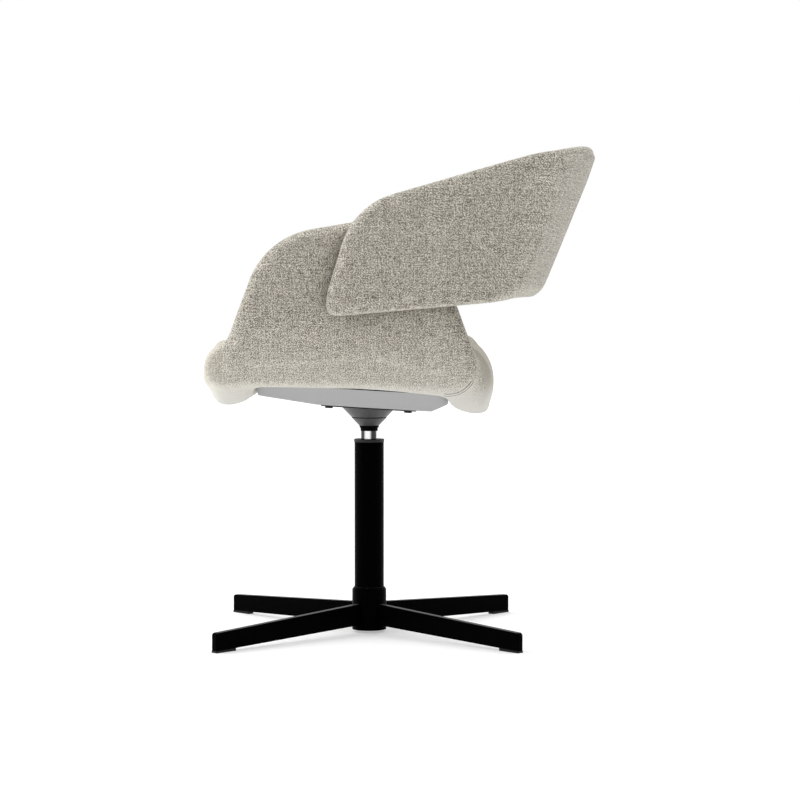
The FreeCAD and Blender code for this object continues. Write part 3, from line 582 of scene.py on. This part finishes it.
def padding(name, pads, hardware, grid):
    """One closed piece from copies of the foam solids, meshed anew on an even grid."""
    form = bmesh.new()
    for pad in pads:
        part = bmesh.new()
        part.from_mesh(nodes[pad].data)
        bmesh.ops.remove_doubles(part, verts=part.verts, dist=WELD)
        clear_of_hardware(part, hardware)
        mesh = mesh_of(pad, part)
        form.from_mesh(mesh)
        bpy.data.meshes.remove(mesh)
    piece = add_object(name, mesh_of(name, form))
    remesh = piece.modifiers.new("grid", "REMESH")
    remesh.mode = "VOXEL"
    remesh.voxel_size = grid
    apply_modifiers(piece)
    return piece


def apply_modifiers(piece):
    """The piece's mesh as its modifiers leave it."""
    graph = bpy.context.evaluated_depsgraph_get()
    mesh = bpy.data.meshes.new_from_object(piece.evaluated_get(graph))
    old = piece.data
    piece.modifiers.clear()
    piece.data = mesh
    bpy.data.meshes.remove(old)
    mesh.name = piece.name


def rise(value, start, end):
    """From 0 at start to 1 at end, which may lie on either side of it."""
    return min(max((value - start) / (end - start), 0.0), 1.0)


def zone(most=1.0, across=(), along=(), up=()):
    """A share for each place: most inside a zone, and less over each of its edges, in metres."""
    def share(place):
        part = most
        for value, edges in ((abs(place.x), across), (place.y, along), (place.z, up)):
            for start, end in edges:
                part *= rise(value, start, end)
        return part
    return share


# Where wing, roll and lower roll run into each other, at the front and at the rear
FRONT_CORNER = zone(across=[(0.12, 0.15)], along=[(-0.14, -0.18), (-0.252, -0.236)], up=[(0.53, 0.50)])
REAR_CORNER = zone(across=[(0.12, 0.15)], along=[(0.08, 0.12), (0.187, 0.172)], up=[(0.48, 0.455)])

# Rolls under the front and the rear of the seat
LOWER_ROLL = zone(most=0.5, up=[(0.428, 0.408)])

# Upper rear edge, lower rear edge and lower front corners of the back
TOP_EDGE = zone(along=[(0.24, 0.30)], up=[(0.755, 0.79)])
LOW_EDGE = zone(most=0.5, along=[(0.20, 0.24)], up=[(0.635, 0.60)])
LOW_TIP = zone(most=0.5, along=[(-0.02, -0.045)], up=[(0.575, 0.552)])


def relax(piece):
    """Smooths a piece by a share and swells it again by another, so that it keeps its size."""
    form = bmesh.new()
    form.from_mesh(piece.data)
    for _ in range(SMOOTH_PASSES):
        for factor in (SMOOTH_SHARE, -SWELL_SHARE):
            bmesh.ops.smooth_vert(form, verts=form.verts, factor=factor, use_axis_x=True, use_axis_y=True,
                                  use_axis_z=True)
    form.to_mesh(piece.data)
    form.free()


def ease(piece, share, passes, outward=False):
    """Smooths a piece by a share that each place has of its own, or only fills the creases from below."""
    form = bmesh.new()
    form.from_mesh(piece.data)
    chosen = [(vertex, share(vertex.co)) for vertex in form.verts]
    chosen = [(vertex, part, [edge.other_vert(vertex) for edge in vertex.link_edges])
              for vertex, part in chosen if part > 0.0]
    for _ in range(passes):
        moves = []
        for vertex, part, near in chosen:
            move = sum((other.co for other in near), Vector()) / len(near) - vertex.co
            if outward:
                move = vertex.normal * max(0.0, move.dot(vertex.normal))
            moves.append(move * part)
        for (vertex, _, _), move in zip(chosen, moves):
            vertex.co += move
        form.normal_update()
    form.to_mesh(piece.data)
    form.free()


def pull_out(piece, share, reach):
    """Moves the places that have a share of it by a reach."""
    for vertex in piece.data.vertices:
        vertex.co += reach * share(vertex.co)


def hold_to(piece, board, thickness, share):
    """Rounds an edge: where it has a share, the padding lies no further from its board than a thickness."""
    tree = face_tree(nodes[board].data)
    for vertex in piece.data.vertices:
        part = share(vertex.co)
        if part > 0.0:
            place, _, _, away = tree.find_nearest(vertex.co)
            if away > thickness:
                vertex.co = vertex.co.lerp(place, part * (1.0 - thickness / away))


def blow_up(piece, look):
    """Draws the cover in, and lets the foam push it out again square to itself, up to a cap."""
    scene = bpy.context.scene
    mesh = piece.data
    outward = [vertex.normal.copy() for vertex in mesh.vertices]
    start = [vertex.co - way * look.draw_in for vertex, way in zip(mesh.vertices, outward)]
    for vertex, place in zip(mesh.vertices, start):
        vertex.co = place
    cloth = piece.modifiers.new("cover", "CLOTH")
    for name, value in COVER_CLOTH.items():
        setattr(cloth.settings, name, value)
    cloth.settings.uniform_pressure_force = look.pressure
    cloth.settings.effector_weights.gravity = 0.0
    cloth.collision_settings.use_collision = False
    cloth.collision_settings.use_self_collision = False
    for step in range(1, look.steps + 1):
        scene.frame_set(step)
    apply_modifiers(piece)
    for vertex, origin, way in zip(piece.data.vertices, start, outward):
        height = (vertex.co - origin).dot(way)
        cap = look.swell * rise(way.z, *UNDERSIDE)
        vertex.co = origin + way * min(max(height, 0.0), cap)
    scene.frame_set(1)


def note_painted_shade(piece, neighbour, reach):
    """Notes on a piece how much of each place's outlook a solid beside it shuts off, for the painted shade
    beside that solid.
    """
    tree = face_tree(nodes[neighbour].data)
    crease = piece.data.attributes.new(PAINTED_SHADE_ATTRIBUTE, "FLOAT", "POINT")
    looks = [(math.radians(tilt), math.radians(turn)) for tilt in SHADE_RAY_TILTS for turn in SHADE_RAY_TURNS]
    for vertex, note in zip(piece.data.vertices, crease.data):
        if tree.find_nearest(vertex.co, reach)[0] is None:
            continue
        out = vertex.normal
        first = out.orthogonal().normalized()
        second = out.cross(first)
        start = vertex.co + out * SHADE_RAY_LIFT
        shut = 0
        for tilt, turn in looks:
            level = first * math.cos(turn) + second * math.sin(turn)
            way = out * math.sin(tilt) + level * math.cos(tilt)
            if tree.ray_cast(start, way, reach)[0] is not None:
                shut += 1
        note.value = min(2.0 * shut / len(looks), 1.0)


def finish_padding(piece, material, replaced):
    """Smooth faces, one subdivision, and the piece's place in the chair."""
    subdivision = piece.modifiers.new("smooth", "SUBSURF")
    subdivision.levels = 1
    subdivision.render_levels = 1
    piece.data.shade_smooth()
    piece.data.materials.clear()
    piece.data.materials.append(material)
    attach(piece, "seat")
    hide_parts(*replaced)


def tube_along(form, points, radius):
    """Thin closed tube through points."""
    turns = [math.tau * corner / THREAD_SIDES for corner in range(THREAD_SIDES)]
    rings = []
    for index, point in enumerate(points):
        way = (points[min(index + 1, len(points) - 1)] - points[max(index - 1, 0)]).normalized()
        first = way.cross(Vector((1.0, 0.0, 0.0))).normalized()
        second = way.cross(first)
        rings.append([form.verts.new(point + (first * math.cos(turn) + second * math.sin(turn)) * radius)
                      for turn in turns])
    for before, after in zip(rings, rings[1:]):
        for corner in range(THREAD_SIDES):
            form.faces.new((before[corner - 1], before[corner], after[corner], after[corner - 1]))
    form.faces.new(rings[0])
    form.faces.new(reversed(rings[-1]))


def sew_wings(piece, look):
    """Two rows of thread round the lower rear corner of each wing, where it meets the lower roll."""
    cover = face_tree(piece.data)
    form = bmesh.new()
    for hand in (-1.0, 1.0):
        for reach in look.seam_reach:
            points = []
            for step in range(SEAM_STEPS + 1):
                turn = SEAM_START + (SEAM_END - SEAM_START) * step / SEAM_STEPS
                y = look.seam_centre[0] + reach * math.cos(turn)
                z = look.seam_centre[1] + reach * math.sin(turn)
                place = cover.ray_cast(Vector((hand, y, z)), Vector((-hand, 0.0, 0.0)))[0]
                if place is not None:
                    points.append(place)
            tube_along(form, points, look.seam_radius)
    bmesh.ops.recalc_face_normals(form, faces=form.faces)
    mesh = mesh_of("wing_seams", form)
    mesh.shade_smooth()
    seams = add_object("wing_seams", mesh)
    thread = coated("sewing_thread", look.seam_thread, roughness=0.8, grain=3000.0, depth=0.0001,
                    specular=0.1)
    mesh.materials.append(thread)
    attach(seams, "seat")


class CHAIR_OT_bucket(bpy.types.Operator):
    """Seat, both side wings and the padded underside, upholstered as one bucket."""

    bl_idname = "chair.bucket"
    bl_label = "Seat Bucket"

    def execute(self, context):
        look = context.scene.chair_upholstery
        piece = padding("seat_bucket", SEAT_PADS, SEAT_HARDWARE, look.grid)
        relax(piece)
        ease(piece, FRONT_CORNER, passes=24, outward=True)
        ease(piece, REAR_CORNER, passes=24, outward=True)
        ease(piece, LOWER_ROLL, passes=14)
        blow_up(piece, look)
        # Painted shade beside the back, noted on the cover
        note_painted_shade(piece, "back_pad", look.painted_shade_reach)
        finish_padding(piece, fabric("melange_seat", look, rolls=True), SEAT_PADS)
        sew_wings(piece, look)
        return {"FINISHED"}


class CHAIR_OT_back(bpy.types.Operator):
    """Wrap-round back."""

    bl_idname = "chair.back"
    bl_label = "Wrap-round Back"

    def execute(self, context):
        look = context.scene.chair_upholstery
        piece = padding("back_band", ["back_pad"], BACK_HARDWARE, look.fine_grid)
        relax(piece)
        pull_out(piece, TOP_EDGE, Vector(look.top_reach))
        hold_to(piece, "back_core", look.top_thickness, TOP_EDGE)
        ease(piece, TOP_EDGE, passes=12)
        ease(piece, LOW_EDGE, passes=45)
        ease(piece, LOW_TIP, passes=3)
        blow_up(piece, look)
        finish_padding(piece, fabric("melange_back", look), ["back_pad"])
        return {"FINISHED"}


class CHAIR_OT_base(bpy.types.Operator):
    """Legs, hub, column and glides."""

    bl_idname = "chair.base"
    bl_label = "Base Finishes"

    def execute(self, context):
        look = context.scene.chair_finishes
        dress(["base_hub", "column_tube"] + ["leg_" + corner for corner in CORNERS],
              coated("powder_coat", look.black, roughness=0.22, grain=2600.0, depth=0.000005, specular=0.006,
                     spread=0.25, sheen=0.25))
        dress(["glide_" + corner for corner in CORNERS],
              coated("glide_moulding", look.moulding, roughness=0.6, grain=1500.0, depth=0.00008,
                     specular=0.2))
        dress(["column_collar"],
              coated("collar_moulding", look.moulding, roughness=0.42, grain=1800.0, depth=0.00005,
                     specular=0.25))
        return {"FINISHED"}


class CHAIR_OT_swivel(bpy.types.Operator):
    """Rod, seals, tapered rings and bearing."""

    bl_idname = "chair.swivel"
    bl_label = "Swivel Finishes"

    def execute(self, context):
        look = context.scene.chair_finishes
        joint = max(vertex.co.z for vertex in nodes["socket_cone"].data.vertices) - JOINT_HALF_HEIGHT / 2
        # Rod with painted reflections
        dress(["swivel_rod"], rod_with_painted_reflections("rod_steel", look.chrome, roughness=0.12))
        dress(["lower_race", "upper_race", "bearing_balls"],
              turned_metal("bearing_steel", look.chrome, roughness=0.18, lines=2500.0, depth=0.00001))
        dress(["dust_seal", "seal_cap"],
              coated("seal_moulding", look.black, roughness=0.55, grain=1400.0, depth=0.00006, specular=0.03))
        dress(["buffer_ring", "pan_gasket"],
              coated("gasket_rubber", look.rubber, roughness=0.7, grain=1100.0, depth=0.0001, specular=0.2))
        dress(["socket_cone", "flange_cone"], cast_rings("cast_grey", look.cone, joint))
        dress(["guide_bush", "ball_cage"],
              coated("pale_moulding", look.bush, roughness=0.5, grain=900.0, depth=0.00008))
        return {"FINISHED"}


class CHAIR_OT_tray(bpy.types.Operator):
    """Tray, plate and fasteners under the seat, and the boards inside the padding."""

    bl_idname = "chair.tray"
    bl_label = "Tray Finishes"

    def execute(self, context):
        look = context.scene.chair_finishes
        dress(["seat_pan"],
              coated("tray_coat", look.tray, roughness=0.46, grain=1500.0, depth=0.00007, specular=0.35,
                     spread=0.04))
        dress(["mounting_plate", "plate_bolts"],
              coated("plate_coat", look.moulding, roughness=0.45, grain=1800.0, depth=0.00006, specular=0.25))
        dress(["end_plate", "retaining_clip", "spacer_tubes", "t_nuts", "bracket_screws", "back_bolts",
               "back_nuts", "arm_bracket_left", "arm_bracket_right"],
              coated("zinc_steel", look.steel, roughness=0.38, grain=700.0, depth=0.00005, metallic=1.0,
                     spread=0.1))
        dress(["seat_board", "arm_core_left", "arm_core_right", "back_core"],
              plywood("board_plywood", look.wood))
        return {"FINISHED"}


class CHAIR_OT_studio(bpy.types.Operator):
    """Floor, light and camera."""

    bl_idname = "chair.studio"
    bl_label = "Studio"

    def execute(self, context):
        look = context.scene.chair_studio
        self.make_floor(look)
        self.make_world(context.scene, look)
        self.make_lamp("front_box", FRONT_BOX_PLACE, look.front_box)
        self.make_lamp("rear_box", REAR_BOX_PLACE, look.rear_box)
        self.make_camera(context.scene, look)
        context.scene.view_settings.view_transform = "Standard"
        return {"FINISHED"}

    @staticmethod
    def make_floor(look):
        """Pale floor that keeps the chair's shadow and reads white to the camera."""
        form = bmesh.new()
        bmesh.ops.create_circle(form, cap_ends=True, segments=FLOOR_SIDES, radius=FLOOR_RADIUS)
        floor = add_object("floor", mesh_of("floor", form))
        material, ground = new_material("pale_floor")
        grain = ground.noise(ground.place(), scale=60.0, detail=3.0)
        tone = ground.blend(grain, opaque(shade(look.floor, 0.99)), opaque(shade(look.floor, 1.01)))
        lit = ground.node("ShaderNodeBsdfDiffuse", None, {"Color": tone})
        white = ground.node("ShaderNodeEmission", None, {"Strength": ground.looked_at() * look.floor_lift})
        both = ground.node("ShaderNodeAddShader", None, {0: lit, 1: white})
        ground.node("ShaderNodeOutputMaterial", None, {"Surface": both})
        floor.data.materials.append(material)

    @staticmethod
    def make_world(scene, look):
        """White walls all round, darker behind the camera."""
        world = bpy.data.worlds.new("studio")
        world.use_nodes = True
        scene.world = world
        room = Finish(world.node_tree)
        x, y, z = room.split(room.place("Generated"))
        dark = room.soft_step(x, DARK_SIDE_EDGES, ends=(look.room, look.dark_side))
        wall = dark * (1.0 - y * look.rear_fall) * (1.0 + z * look.ceiling)
        level = wall + (1.0 - wall) * room.looked_at()
        light = room.node("ShaderNodeBackground", None, {"Color": opaque((1.0, 1.0, 1.0)), "Strength": level})
        room.node("ShaderNodeOutputWorld", None, {"Surface": light})

    @staticmethod
    def make_lamp(name, place, watts):
        """A low soft box that the camera doesn't see."""
        data = bpy.data.lights.new(name, "AREA")
        data.shape = "RECTANGLE"
        data.size = BOX_WIDTH
        data.size_y = BOX_HEIGHT
        data.energy = watts
        lamp = add_object(name, data)
        lamp.location = place
        lamp.rotation_euler = (LAMP_AIM - lamp.location).to_track_quat("-Z", "Y").to_euler()
        lamp.visible_camera = False

    @staticmethod
    def make_camera(scene, look):
        """Camera at the left side of the chair, a little above the seat."""
        data = bpy.data.cameras.new("camera")
        data.lens = look.lens
        data.sensor_width = SENSOR_WIDTH
        camera = add_object("camera", data)
        camera.location = (look.distance, look.along, look.height)
        camera.rotation_euler = (math.pi / 2 - look.pitch, 0.0, math.pi / 2)
        scene.camera = camera


OPERATORS = (CHAIR_OT_studio, CHAIR_OT_bucket, CHAIR_OT_back, CHAIR_OT_base, CHAIR_OT_swivel, CHAIR_OT_tray)


class CHAIR_PT_panel(bpy.types.Panel):
    """Pieces and sizes of the armchair."""

    bl_idname = "CHAIR_PT_panel"
    bl_label = "Swivel Dining Armchair"
    bl_space_type = "VIEW_3D"
    bl_region_type = "UI"
    bl_category = "Armchair"

    def draw(self, context):
        for operator in OPERATORS:
            self.layout.operator(operator.bl_idname)
        scene = context.scene
        for group in (scene.chair_upholstery, scene.chair_finishes, scene.chair_studio):
            box = self.layout.box()
            for name in group.__annotations__:
                box.prop(group, name)


CLASSES = (ChairUpholstery, ChairFinishes, ChairStudio, *OPERATORS, CHAIR_PT_panel)


def register():
    """Adds the chair's classes and settings."""
    for item in CLASSES:
        bpy.utils.register_class(item)
    bpy.types.Scene.chair_upholstery = PointerProperty(type=ChairUpholstery)
    bpy.types.Scene.chair_finishes = PointerProperty(type=ChairFinishes)
    bpy.types.Scene.chair_studio = PointerProperty(type=ChairStudio)


def unregister():
    """Removes the chair's classes and settings."""
    del bpy.types.Scene.chair_studio
    del bpy.types.Scene.chair_finishes
    del bpy.types.Scene.chair_upholstery
    for item in reversed(CLASSES):
        bpy.utils.unregister_class(item)


def main():
    """Builds the chair and its studio."""
    register()
    bpy.ops.chair.studio()
    bpy.ops.chair.bucket()
    bpy.ops.chair.back()
    bpy.ops.chair.base()
    bpy.ops.chair.swivel()
    bpy.ops.chair.tray()


if __name__ == "__main__":
    main()
